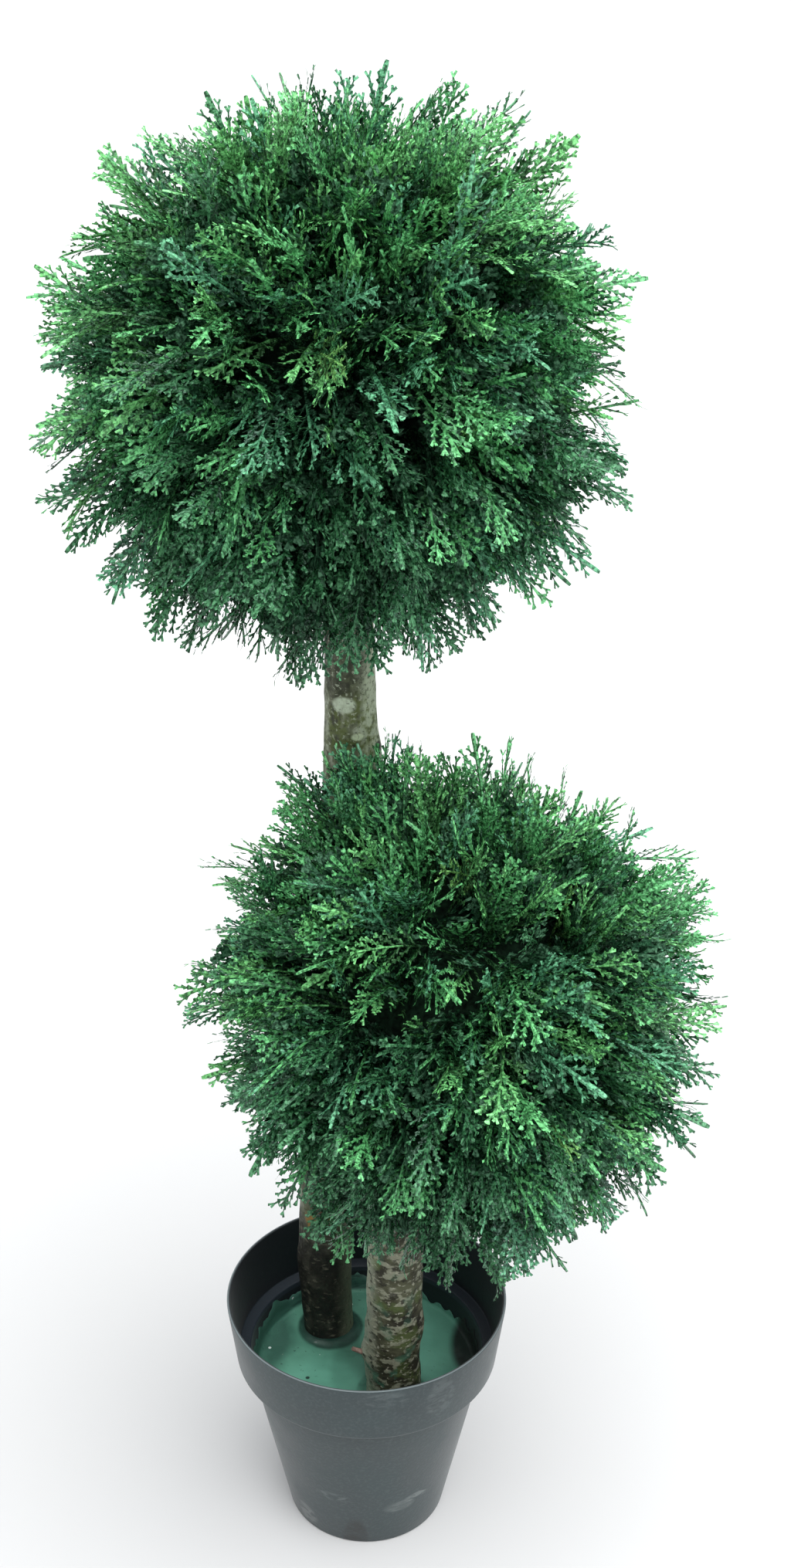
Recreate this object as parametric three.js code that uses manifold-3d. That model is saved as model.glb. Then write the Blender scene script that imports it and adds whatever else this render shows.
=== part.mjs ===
// A potted double-ball topiary: two bark-covered trunks set in a painted cement fill, each with a clipped ball.
// Millimetres, +Z up. The origin is on the floor at the pot's axis, -Y is the front, +X the viewer's right.

import * as THREE from 'three';
import { mergeVertices } from 'three/addons/utils/BufferGeometryUtils.js';
import Module from 'manifold-3d';

const wasm = await Module();
wasm.setup();

// Clearance between pieces that touch.
const gap = 0.3;

// Pot: a tapered body under a wide, slightly tapered collar.
const potHeight = 275;
const rimRadius = 150;
const footRadius = 86;
const footChamfer = 3;
const bodyTopRadius = 128;
const collarFoot = 202;
const collarFootRadius = 140.5;
const collarCorner = 4;
const ledgeHeight = 208;
const rimLip = 1.2;
const wall = 3.5;
const potFloor = 5;
const roundSides = 48;

// Fill: cement that reaches almost to the ledge inside the pot.
const fillTop = 178;

// Trunks: heights and places of the foot, two bends and the tip, and the radius at each.
const trunkFoot = 40;
const tallTrunk = {
  path: [[-33, 46, trunkFoot], [-46, 66, 290], [-16, 58, 890], [-26, 50, 1300]],
  radii: [24.5, 28.5, 26, 19],
  rings: 26,
  sides: 14,
  knots: [
    { height: 893, angle: 0, rise: 4.5, spread: 22 },
    { height: 262, angle: 2.6, rise: 2.5, spread: 26 },
  ],
};
const shortTrunk = {
  path: [[28, -46, trunkFoot], [29, -46, 235], [32, -46, 400], [72, -44, 690]],
  radii: [25.5, 29.5, 29, 24],
  rings: 18,
  sides: 14,
  knots: [
    { height: 272, angle: 0.1, rise: 3.5, spread: 14 },
    { height: 243, angle: 3.3, rise: 3, spread: 12 },
  ],
};
const barkRipple = 0.022;
const stub = { height: 236, angle: 3.35, length: 15, thick: 4.6, thin: 2.6, sides: 6, rise: 9, sunk: 7 };

// Balls: a round core with flat toothed sprays standing out of it, their tips on a slightly uneven sphere.
const coreRadius = 175;
const coreDetail = 4;
const coreUnevenness = 4;
const sprayRootDepth = 25;
const spray = { width: 0.48, stalk: 0.03, thickness: 0.055, apex: 0.46 };
const sprayTips = { shortest: 0.87, sideways: 0.2, droop: 0.1 };
const sprayTries = 14;
const shortestEdge = 0.05;
const upperBall = { centre: [-28, 58, 1261], reach: 280, sprays: 165, seed: 11 };
const lowerBall = { centre: [95, -42, 656], reach: 274, sprays: 158, seed: 29 };

// Colours of the finishes.
const plasticGrey = 0x4a5355;
const fillGreen = 0x3f7d66;
const barkBrown = 0x6d6755;
const sprayGreen = 0x2f7450;

// A small repeatable random number generator, 0 to 1.
function seededRandom(seed) {
  let state = seed >>> 0;
  return function next() {
    state = (state + 0x6d2b79f5) >>> 0;
    let mixed = Math.imul(state ^ (state >>> 15), state | 1);
    mixed ^= mixed + Math.imul(mixed ^ (mixed >>> 7), mixed | 61);
    return ((mixed ^ (mixed >>> 14)) >>> 0) / 4294967296;
  };
}

// Keeps only positions, joins shared vertices and leaves out triangles that have no area.
function weld(geometry) {
  const bare = geometry.clone();
  bare.deleteAttribute('normal');
  bare.deleteAttribute('uv');
  const merged = mergeVertices(bare, 1e-3);
  const source = merged.getIndex().array;
  const kept = [];
  for (let i = 0; i < source.length; i += 3) {
    const [a, b, c] = [source[i], source[i + 1], source[i + 2]];
    if (a !== b && b !== c && c !== a) {
      kept.push(a, b, c);
    }
  }
  merged.setIndex(kept);
  return merged;
}

function toSolid(geometry) {
  const welded = weld(geometry);
  return new wasm.Manifold(new wasm.Mesh({
    numProp: 3,
    vertProperties: new Float32Array(welded.getAttribute('position').array),
    triVerts: new Uint32Array(welded.getIndex().array),
  }));
}

function toGeometry(solid) {
  const mesh = solid.getMesh();
  const geometry = new THREE.BufferGeometry();
  geometry.setAttribute('position', new THREE.BufferAttribute(new Float32Array(mesh.vertProperties), 3));
  geometry.setIndex(Array.from(mesh.triVerts));
  geometry.computeVertexNormals();
  return geometry;
}

// Turns a half profile of [radius, height] points about the vertical axis.
function turned(profile) {
  const points = profile.map(([radius, height]) => new THREE.Vector2(radius, height));
  const geometry = new THREE.LatheGeometry(points, roundSides);
  geometry.rotateX(Math.PI / 2);
  return weld(geometry);
}

// Outer radius of the pot's tapered body at a height.
function bodyRadius(height) {
  return footRadius + (bodyTopRadius - footRadius) * (height / collarFoot);
}

// Outer radius of the pot's collar at a height.
function collarRadius(height) {
  const share = (height - collarFoot) / (potHeight - collarFoot);
  return collarFootRadius + (rimRadius - collarFootRadius) * share;
}

function makePot() {
  return turned([
    [0, 0],
    [footRadius - footChamfer, 0],
    [bodyRadius(footChamfer), footChamfer],
    [bodyTopRadius, collarFoot],
    [collarFootRadius - collarCorner, collarFoot],
    [collarRadius(collarFoot + collarCorner), collarFoot + collarCorner],
    [rimRadius, potHeight - rimLip],
    [rimRadius - rimLip, potHeight],
    [rimRadius - wall, potHeight],
    [collarRadius(ledgeHeight) - wall, ledgeHeight],
    [bodyRadius(ledgeHeight) - wall, ledgeHeight - rimLip],
    [bodyRadius(potFloor) - wall, potFloor],
    [0, potFloor],
  ]);
}

// A trunk as rings of bark on a bent path. Clearance widens it and lengthens its two ends.
function makeTrunk(trunk, clearance = 0) {
  const curve = new THREE.CatmullRomCurve3(trunk.path.map((point) => new THREE.Vector3(...point)));
  const positions = [];
  for (let ring = 0; ring <= trunk.rings; ring += 1) {
    const along = ring / trunk.rings;
    const middle = curve.getPoint(along);
    const height = middle.z;
    if (ring === 0) {
      middle.z -= clearance;
    }
    if (ring === trunk.rings) {
      middle.z += clearance;
    }
    for (let side = 0; side < trunk.sides; side += 1) {
      const angle = (side / trunk.sides) * 2 * Math.PI;
      const radius = trunkRadius(trunk, along, height, angle) + clearance / Math.cos(Math.PI / trunk.sides);
      positions.push(middle.x + radius * Math.cos(angle), middle.y + radius * Math.sin(angle), middle.z);
    }
  }
  const index = [];
  for (let ring = 0; ring < trunk.rings; ring += 1) {
    for (let side = 0; side < trunk.sides; side += 1) {
      const a = ring * trunk.sides + side;
      const b = ring * trunk.sides + ((side + 1) % trunk.sides);
      index.push(a, b, b + trunk.sides, a, b + trunk.sides, a + trunk.sides);
    }
  }
  const top = trunk.rings * trunk.sides;
  for (let side = 1; side < trunk.sides - 1; side += 1) {
    index.push(0, side + 1, side);
    index.push(top, top + side, top + side + 1);
  }
  const geometry = new THREE.BufferGeometry();
  geometry.setAttribute('position', new THREE.Float32BufferAttribute(positions, 3));
  geometry.setIndex(index);
  return geometry;
}

// Radius of a trunk: its taper, a slow ripple of the bark and its knots.
function trunkRadius(trunk, along, height, angle) {
  const place = along * (trunk.radii.length - 1);
  const below = Math.min(Math.floor(place), trunk.radii.length - 2);
  const taper = THREE.MathUtils.lerp(trunk.radii[below], trunk.radii[below + 1], place - below);
  const ripple = Math.sin(2 * angle + height / 90) + 0.6 * Math.sin(3 * angle - height / 55);
  let radius = taper * (1 + barkRipple * ripple);
  for (const knot of trunk.knots) {
    const turn = Math.atan2(Math.sin(angle - knot.angle), Math.cos(angle - knot.angle)) * taper;
    const away = ((height - knot.height) ** 2 + turn ** 2) / knot.spread ** 2;
    radius += knot.rise * Math.exp(-away);
  }
  return radius;
}

// The short broken twig near the foot of the short trunk.
function makeStub() {
  const curve = new THREE.CatmullRomCurve3(shortTrunk.path.map((point) => new THREE.Vector3(...point)));
  const foot = curve.getPoint((stub.height - trunkFoot) / (shortTrunk.path.at(-1)[2] - trunkFoot));
  const out = new THREE.Vector3(Math.cos(stub.angle), Math.sin(stub.angle), 0);
  const start = new THREE.Vector3(foot.x, foot.y, stub.height);
  start.addScaledVector(out, shortTrunk.radii[1] - stub.sunk);
  const lean = out.clone().multiplyScalar(stub.length).add(new THREE.Vector3(0, 0, stub.rise)).normalize();
  const length = stub.length + stub.sunk;
  const geometry = new THREE.CylinderGeometry(stub.thin, stub.thick, length, stub.sides);
  geometry.translate(0, length / 2, 0);
  geometry.applyQuaternion(new THREE.Quaternion().setFromUnitVectors(new THREE.Vector3(0, 1, 0), lean));
  geometry.translate(start.x, start.y, start.z);
  return geometry;
}

// Cement fill, with a socket round each trunk's foot.
function makeFill() {
  const low = potFloor + gap;
  const solid = toSolid(turned([
    [0, low],
    [bodyRadius(low) - wall - gap, low],
    [bodyRadius(fillTop) - wall - gap, fillTop],
    [0, fillTop],
  ]));
  const sockets = toSolid(makeTrunk(tallTrunk, gap)).add(toSolid(makeTrunk(shortTrunk, gap)));
  return toGeometry(solid.subtract(sockets));
}

// Directions spread evenly over a sphere.
function evenDirection(number, count) {
  const rise = 1 - (2 * (number + 0.5)) / count;
  const across = Math.sqrt(1 - rise * rise);
  const turn = number * Math.PI * (3 - Math.sqrt(5));
  return new THREE.Vector3(across * Math.cos(turn), across * Math.sin(turn), rise);
}

// Half outline of a spray from its stalk to its tip, as [sideways, along] shares of its length.
function halfOutline() {
  const reach = spray.width / 2;
  return [
    [spray.stalk, 0],
    [2 * spray.stalk, 0.2],
    [reach, 0.48],
    [0.33 * reach, 0.6],
    [0.68 * reach, 0.8],
  ];
}

// A flat toothed spray: an outline joined to one point in front of it and one behind.
function makeSpray(root, tip, twist) {
  const length = root.distanceTo(tip);
  const along = tip.clone().sub(root).normalize();
  const aside = new THREE.Vector3(0, 0, 1).cross(along);
  aside.normalize().applyAxisAngle(along, twist);
  const face = along.clone().cross(aside);
  const half = halfOutline();
  const mirrored = half.map(([sideways, up]) => [-sideways, up]).reverse();
  const outline = [...half, [0, 1], ...mirrored];
  const place = (sideways, up, out) => root.clone()
    .addScaledVector(aside, sideways * length)
    .addScaledVector(along, up * length)
    .addScaledVector(face, out * length);
  const points = outline.map(([sideways, up]) => place(sideways, up, 0));
  points.push(place(0, spray.apex, -spray.thickness / 2), place(0, spray.apex, spray.thickness / 2));
  const [front, back] = [outline.length, outline.length + 1];
  const index = [];
  for (let i = 0; i < outline.length; i += 1) {
    const next = (i + 1) % outline.length;
    index.push(i, next, front, next, i, back);
  }
  const geometry = new THREE.BufferGeometry();
  geometry.setAttribute('position', new THREE.Float32BufferAttribute(points.flatMap((p) => p.toArray()), 3));
  geometry.setIndex(index);
  return geometry;
}

// The round core of a ball, slightly uneven.
function makeCore(random) {
  const geometry = weld(new THREE.IcosahedronGeometry(coreRadius, coreDetail));
  const position = geometry.getAttribute('position');
  const point = new THREE.Vector3();
  for (let i = 0; i < position.count; i += 1) {
    point.fromBufferAttribute(position, i);
    point.multiplyScalar(1 + (coreUnevenness / coreRadius) * (random() - 0.5));
    position.setXYZ(i, point.x, point.y, point.z);
  }
  return geometry;
}

// Tip of a spray: turned a little sideways and down from the way its root faces, on an uneven sphere.
function sprayTip(ball, outward, random) {
  const sideways = new THREE.Vector3(random() - 0.5, random() - 0.5, random() - 0.5);
  const way = outward.clone().addScaledVector(sideways, 2 * sprayTips.sideways);
  way.z -= sprayTips.droop * Math.hypot(outward.x, outward.y);
  const share = THREE.MathUtils.lerp(sprayTips.shortest, 1, random());
  return way.normalize().multiplyScalar(ball.reach * share);
}

// Drops loose scraps and closed hollows, so that one body is left.
function largestBody(solid) {
  return solid.decompose().reduce((best, part) => (part.volume() > best.volume() ? part : best));
}

// A clipped ball: core and sprays in one body. A spray that would touch a trunk or cross another spray
// is turned another way and tried again, and in the end left out.
function makeBall(ball, trunks) {
  const random = seededRandom(ball.seed);
  const centre = new THREE.Vector3(...ball.centre);
  const blades = [];
  let taken = trunks;
  for (let number = 0; number < ball.sprays; number += 1) {
    const outward = evenDirection(number, ball.sprays);
    const root = outward.clone().multiplyScalar(coreRadius - sprayRootDepth).add(centre);
    for (let attempt = 0; attempt < sprayTries; attempt += 1) {
      const tip = sprayTip(ball, outward, random).add(centre);
      const blade = toSolid(makeSpray(root, tip, random() * Math.PI));
      if (blade.intersect(taken).isEmpty()) {
        taken = taken.add(blade);
        blades.push(blade);
        break;
      }
    }
  }
  const core = makeCore(random);
  core.translate(...ball.centre);
  const joined = blades.reduce((solid, blade) => solid.add(blade), toSolid(core).subtract(trunks));
  return toGeometry(largestBody(joined).simplify(shortestEdge));
}

function named(name, geometry, material) {
  const mesh = new THREE.Mesh(geometry, material);
  mesh.name = name;
  return mesh;
}

const plastic = new THREE.MeshStandardMaterial({ color: plasticGrey, roughness: 0.55, metalness: 0 });
const paintedCement = new THREE.MeshStandardMaterial({ color: fillGreen, roughness: 0.6, metalness: 0 });
const bark = new THREE.MeshStandardMaterial({ color: barkBrown, roughness: 0.85, metalness: 0 });
const greenery = new THREE.MeshStandardMaterial({ color: sprayGreen, roughness: 0.5, metalness: 0 });

const trunksWithClearance = toSolid(makeTrunk(tallTrunk, gap)).add(toSolid(makeTrunk(shortTrunk, gap)));
const shortTrunkWithStub = toSolid(makeTrunk(shortTrunk)).add(toSolid(makeStub()));

const group = new THREE.Group();
group.add(named('pot', makePot(), plastic));
group.add(named('fill', makeFill(), paintedCement));
group.add(named('trunk_tall', makeTrunk(tallTrunk), bark));
group.add(named('trunk_short', toGeometry(shortTrunkWithStub), bark.clone()));
group.add(named('foliage_upper', makeBall(upperBall, trunksWithClearance), greenery));
group.add(named('foliage_lower', makeBall(lowerBall, trunksWithClearance), greenery.clone()));

export default group;
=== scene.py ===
import math

import bpy
import numpy as np
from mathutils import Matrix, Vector, noise


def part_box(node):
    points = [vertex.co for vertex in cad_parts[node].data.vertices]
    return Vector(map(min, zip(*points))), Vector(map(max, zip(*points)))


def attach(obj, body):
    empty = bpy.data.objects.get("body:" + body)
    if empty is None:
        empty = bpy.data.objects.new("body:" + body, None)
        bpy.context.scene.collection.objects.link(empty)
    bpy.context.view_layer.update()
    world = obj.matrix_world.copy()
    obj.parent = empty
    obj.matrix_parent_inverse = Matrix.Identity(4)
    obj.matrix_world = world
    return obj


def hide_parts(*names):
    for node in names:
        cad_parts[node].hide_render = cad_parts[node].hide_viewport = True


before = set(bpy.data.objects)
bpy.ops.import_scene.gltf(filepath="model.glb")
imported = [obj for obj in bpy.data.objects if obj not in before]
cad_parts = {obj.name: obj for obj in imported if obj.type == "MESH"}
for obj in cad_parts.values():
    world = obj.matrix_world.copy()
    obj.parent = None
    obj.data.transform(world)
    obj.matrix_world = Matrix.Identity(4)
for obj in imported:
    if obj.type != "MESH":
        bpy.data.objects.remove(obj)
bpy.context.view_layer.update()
mm = 0.001
up = np.array([0.0, 0.0, 1.0])


# Camera: the photograph is 1024 x 2031 and looks down on the plant from eye height
cameraSet = {
    "distance": 1.695,      # in front of the pot's axis, metres
    "height": 1.718,
    "pitch": 26.18,         # degrees below level
    "focalPixels": 2600,
    "axisPixel": 474.5,     # where the pot's axis falls across the photograph
    "pictureWidth": 1024,
    "pictureHeight": 2031,
    "sensor": 36,
    "seesTo": 200,
}


def addCamera(look):
    data = bpy.data.cameras.new("photoCamera")
    data.sensor_width = look["sensor"]
    data.lens = look["focalPixels"] / look["pictureHeight"] * look["sensor"]
    data.shift_x = (look["pictureWidth"] / 2 - look["axisPixel"]) / look["pictureHeight"]
    data.clip_end = look["seesTo"]
    camera = bpy.data.objects.new("photoCamera", data)
    camera.location = (0, -look["distance"], look["height"])
    camera.rotation_euler = (math.radians(90 - look["pitch"]), 0, 0)
    bpy.context.scene.collection.objects.link(camera)
    bpy.context.scene.camera = camera


addCamera(cameraSet)
print("camera placed")


# Mesh helpers

def addPiece(name, mesh, material):
    mesh.materials.append(material)
    piece = bpy.data.objects.new(name, mesh)
    bpy.context.scene.collection.objects.link(piece)
    return piece


def quadPiece(name, points, quads, material):
    # one flat-shaded object from an array of points and an array of four-cornered faces
    mesh = bpy.data.meshes.new(name)
    mesh.vertices.add(len(points))
    mesh.vertices.foreach_set("co", np.ascontiguousarray(points, np.float32).ravel())
    mesh.loops.add(quads.size)
    mesh.loops.foreach_set("vertex_index", np.ascontiguousarray(quads, np.int32).ravel())
    mesh.polygons.add(len(quads))
    mesh.polygons.foreach_set("loop_start", np.arange(0, quads.size, 4, dtype=np.int32))
    mesh.polygons.foreach_set("use_smooth", np.zeros(len(quads), bool))
    mesh.update(calc_edges=True)
    return addPiece(name, mesh, material)


def closedTube(name, rings, material):
    # joins an array of rings, each with the same number of points, and closes each end with a flat face
    corners = np.arange(rings.shape[0] * rings.shape[1]).reshape(rings.shape[:2])
    beside = np.roll(corners, -1, axis=1)
    quads = np.stack([corners[:-1], beside[:-1], beside[1:], corners[1:]], axis=-1).reshape(-1, 4).tolist()
    ends = [corners[0, ::-1].tolist(), corners[-1].tolist()]
    mesh = bpy.data.meshes.new(name)
    mesh.from_pydata(rings.reshape(-1, 3).tolist(), [], quads + ends)
    mesh.polygons.foreach_set("use_smooth", [True] * len(quads) + [False] * len(ends))
    mesh.update()
    return addPiece(name, mesh, material)


def fullTurn(sides):
    # the angle of each point of a ring
    return np.arange(sides) / sides * 2 * math.pi


def ringPoints(radius, height, turn):
    # points round a circle about the upright axis
    return np.stack([radius * np.cos(turn), radius * np.sin(turn), height + 0 * turn], axis=-1)


def unit(vectors):
    return vectors / np.linalg.norm(vectors, axis=-1, keepdims=True)


def ripple(x, y, z, octaves):
    # rough noise about 0
    return noise.fractal(Vector((x, y, z)), 1.0, 2.0, octaves)


def place(piece, node, slot):
    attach(piece, "root")
    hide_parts(node)


# Material helpers: sizes, heights and places in a finish are in metres

def newFinish(name, look):
    finish = bpy.data.materials.new(name)
    finish.use_nodes = True
    tree = finish.node_tree
    shader = tree.nodes["Principled BSDF"]
    shader.inputs["Roughness"].default_value = look["roughness"]
    shader.inputs["Specular IOR Level"].default_value = look["specular"]
    return finish, tree, shader


def addNode(tree, kind, values=None, **settings):
    node = tree.nodes.new("ShaderNode" + kind)
    for key, value in settings.items():
        setattr(node, key, value)
    for key, value in (values or {}).items():
        node.inputs[key].default_value = value
    return node


def spots(size, detail, stretch=(1, 1, 1), shift=(0, 0, 0), distortion=0):
    # a noise whose patches are about size across
    return size, detail, stretch, shift, distortion


def addNoise(tree, kind):
    size, detail, stretch, shift, distortion = kind
    where = addNode(tree, "TexCoord")
    mapping = addNode(tree, "Mapping", {"Scale": stretch, "Location": shift})
    patches = addNode(tree, "TexNoise", {"Scale": 1 / size, "Detail": detail, "Distortion": distortion})
    tree.links.new(where.outputs["Object"], mapping.inputs["Vector"])
    tree.links.new(mapping.outputs["Vector"], patches.inputs["Vector"])
    return patches.outputs["Fac"]


def addNoises(tree, look):
    return {name: addNoise(tree, kind) for name, kind in look["noises"].items()}


def ramp(tree, factor, stops):
    node = addNode(tree, "ValToRGB")
    while len(node.color_ramp.elements) < len(stops):
        node.color_ramp.elements.new(0.5)
    for element, (position, colour) in zip(node.color_ramp.elements, stops):
        element.position = position
        element.color = (*colour, 1)
    tree.links.new(factor, node.inputs["Fac"])
    return node.outputs["Color"]


def stretchRange(tree, factor, low, high, toLow=0.0, toHigh=1.0):
    limits = {"From Min": low, "From Max": high, "To Min": toLow, "To Max": toHigh}
    node = addNode(tree, "MapRange", limits, interpolation_type="SMOOTHSTEP")
    tree.links.new(factor, node.inputs["Value"])
    return node.outputs["Result"]


def blendColours(tree, factor, first, second, mode="MIX"):
    node = addNode(tree, "Mix", data_type="RGBA", blend_type=mode)
    for socket, value in zip(("Factor_Float", "A_Color", "B_Color"), (factor, first, second)):
        target = next(s for s in node.inputs if s.identifier == socket)
        if isinstance(value, bpy.types.NodeSocket):
            tree.links.new(value, target)
        elif socket == "Factor_Float":
            target.default_value = value
        else:
            target.default_value = (*value, 1)
    return next(s for s in node.outputs if s.identifier == "Result_Color")


def sums(tree, operation, first, second):
    node = addNode(tree, "Math", operation=operation)
    for number, value in enumerate((first, second)):
        if isinstance(value, bpy.types.NodeSocket):
            tree.links.new(value, node.inputs[number])
        else:
            node.inputs[number].default_value = value
    return node.outputs["Value"]


def partOf(tree, axis):
    # one coordinate of the place on the object, or its radius about the pot's axis
    where = addNode(tree, "TexCoord")
    split = addNode(tree, "SeparateXYZ")
    tree.links.new(where.outputs["Object"], split.inputs["Vector"])
    if axis != "radius":
        return split.outputs[axis]
    squares = [sums(tree, "MULTIPLY", split.outputs[one], split.outputs[one]) for one in "XY"]
    return sums(tree, "SQRT", sums(tree, "ADD", *squares), 0.0)


def nearPoint(tree, point, size, squash):
    # 1 at a place on the object, falling to 0 at size from it
    where = addNode(tree, "TexCoord")
    offset = addNode(tree, "VectorMath", {1: point}, operation="SUBTRACT")
    squashed = addNode(tree, "VectorMath", {1: squash}, operation="MULTIPLY")
    away = addNode(tree, "VectorMath", operation="LENGTH")
    tree.links.new(where.outputs["Object"], offset.inputs[0])
    tree.links.new(offset.outputs["Vector"], squashed.inputs[0])
    tree.links.new(squashed.outputs["Vector"], away.inputs[0])
    return stretchRange(tree, away.outputs["Value"], 0, size, 1, 0)


def addLayers(tree, colour, layers, noises):
    # lays colours one over another; each goes by a noise or a coordinate, from where it starts to where it is
    # full, has a strength and a colour, and may fade between two heights
    for by, start, full, strength, over, *fades in layers:
        value = noises[by] if by in noises else partOf(tree, by)
        share = stretchRange(tree, value, start, full, 0, strength)
        for fade in fades:
            share = sums(tree, "MULTIPLY", share, stretchRange(tree, partOf(tree, "Z"), *fade))
        colour = blendColours(tree, share, colour, over)
    return colour


def mark(place, size, colour, strength, solid=0, squash=(1, 1, 1), edge=(0.12, 0.5)):
    # a patch of colour about a place; strands of a noise break it up, the less the more solid it is
    return place, size, colour, strength, solid, squash, edge


def addMarks(tree, colour, marks, strands):
    for place, size, over, strength, solid, squash, edge in marks:
        near = nearPoint(tree, place, size, squash)
        broken = stretchRange(tree, strands, 0.4, 0.6, solid, 1)
        patch = sums(tree, "MULTIPLY", stretchRange(tree, near, *edge), broken)
        colour = blendColours(tree, sums(tree, "MULTIPLY", patch, strength), colour, over)
    return colour


def setSurface(tree, shader, colour, relief, look, noises=None):
    # links a finish's colour, its bump and, where a noise varies it, its roughness to the shader
    tree.links.new(colour, shader.inputs["Base Color"])
    if "glossBy" in look:
        by, *limits = look["glossBy"]
        tree.links.new(stretchRange(tree, noises[by], *limits), shader.inputs["Roughness"])
    strength, depth = look["bump"]
    bump = addNode(tree, "Bump", {"Strength": strength, "Distance": depth})
    tree.links.new(relief, bump.inputs["Height"])
    tree.links.new(bump.outputs["Normal"], shader.inputs["Normal"])


# Pot: turned about its axis, finer than the solid it replaces; the shape is in mm
potLook = {
    "sides": 160,
    "foot": 86, "footRound": 3,
    "bodyTop": 128, "bodyRound": 1.2,
    "collarFoot": 202, "collarRadius": 140.5, "collarRound": 4,
    "wall": 3.5, "lipRound": 1.6,
    "ledge": 208, "ledgeFlare": 0.8, "ledgeFall": 1, "ledgeRound": 1.5,
    "floor": 5, "floorRound": 3,
    "hub": 0.01,  # how near the axis the profile starts and ends
    "roughness": 0.48, "specular": 0.45, "sheen": 0.13, "sheenRoughness": 0.4,
    "noises": {
        "clouds": spots(0.07, 4),
        "grain": spots(0.0035, 2),
        "streaks": spots(0.012, 5, stretch=(0.8, 0.8, 1.7), distortion=0.8),
    },
    "greys": [(0.34, (0.0165, 0.029, 0.032)), (0.66, (0.0275, 0.045, 0.048))],
    "dust": [("grain", 0.45, 0.75, 0.1, (0.16, 0.2, 0.2))],
    # painted highlight: a pale line round the top of the lip
    "lipHighlight": [("Z", 0.2741, 0.2751, 0.7, (0.3, 0.35, 0.36))],
    "scuffs": [
        mark((0.036, -0.091, 0.06), 0.022, (0.22, 0.25, 0.24), 0.34, solid=0.5, squash=(0.8, 1, 1.6)),
        mark((0.054, -0.085, 0.068), 0.02, (0.3, 0.34, 0.33), 0.34, squash=(0.9, 1, 2)),
        mark((-0.066, -0.062, 0.021), 0.024, (0.24, 0.26, 0.25), 0.35),
        mark((-0.037, -0.095, 0.077), 0.022, (0.2, 0.23, 0.23), 0.25, squash=(0.7, 1, 2)),
        mark((0.075, -0.122, 0.243), 0.034, (0.16, 0.19, 0.19), 0.2, squash=(1.4, 1, 0.7)),
        mark((0.02, -0.146, 0.262), 0.026, (0.16, 0.19, 0.19), 0.2, squash=(0.7, 1, 1.6)),
        mark((-0.012, -0.088, 0.004), 0.046, (0.006, 0.008, 0.007), 0.75,
             solid=0.6, squash=(2.2, 1, 0.8)),  # dark patch at the front of the foot
    ],
    # the shaded inside, collar then body: how the middle of the wall leans out, and where the shade starts
    "insides": [{"slope": 0.13, "radius": 0.1125, "above": 0.2015},
                {"slope": 0.208, "radius": 0.0843, "above": 0.1}],
    "insideEdge": (-0.0006, 0.0002, 1, 0), "insideStart": 0.0005,
    "insideShadeColour": (0.003, 0.004, 0.007), "insideStrength": 0.8,
    "ledgeHeights": (0.2092, 0.2084), "ledgeColour": (0.02, 0.03, 0.042),
    "glossBy": ("clouds", 0.35, 0.7, 0.42, 0.55),
    "bump": (0.3, 0.0005),
}


def potPlastic(look):
    # matt slate-grey plastic: a painted highlight along the lip, soft clouds, a few scuffs and painted shade
    # inside
    finish, tree, shader = newFinish("potPlastic", look)
    shader.inputs["Sheen Weight"].default_value = look["sheen"]
    shader.inputs["Sheen Roughness"].default_value = look["sheenRoughness"]
    noises = addNoises(tree, look)
    grey = addLayers(tree, ramp(tree, noises["clouds"], look["greys"]), look["dust"], noises)
    grey = addMarks(tree, grey, look["scuffs"], noises["streaks"])
    grey = addLayers(tree, grey, look["lipHighlight"], noises)
    z, radius = partOf(tree, "Z"), partOf(tree, "radius")
    # painted shade on the inside of the collar and the body, with a lighter grey on the ledge
    shades = []
    for wall in look["insides"]:
        middle = sums(tree, "ADD", sums(tree, "MULTIPLY", z, wall["slope"]), wall["radius"])
        inside = stretchRange(tree, sums(tree, "SUBTRACT", radius, middle), *look["insideEdge"])
        heights = wall["above"], wall["above"] + look["insideStart"]
        above = stretchRange(tree, z, *heights, 0, look["insideStrength"])
        shades.append(sums(tree, "MULTIPLY", inside, above))
    grey = blendColours(tree, sums(tree, "MAXIMUM", *shades), grey, look["insideShadeColour"])
    ledge = sums(tree, "MULTIPLY", shades[0], stretchRange(tree, z, *look["ledgeHeights"]))
    grey = blendColours(tree, ledge, grey, look["ledgeColour"])
    setSurface(tree, shader, grey, noises["grain"], look, noises)
    return finish


def roundedCorner(points, corner, before, after, radius, steps=5):
    # adds a rounded corner to a profile of (radius, height) points
    corner, before, after = (np.array(p, float) for p in (corner, before, after))
    start = corner + unit(before - corner) * radius
    end = corner + unit(after - corner) * radius
    for step in range(steps + 1):
        share = step / steps
        points.append((1 - share) ** 2 * start + 2 * share * (1 - share) * corner + share ** 2 * end)


def wallSlope(look):
    return (look["bodyTop"] - look["foot"]) / look["collarFoot"]


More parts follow.
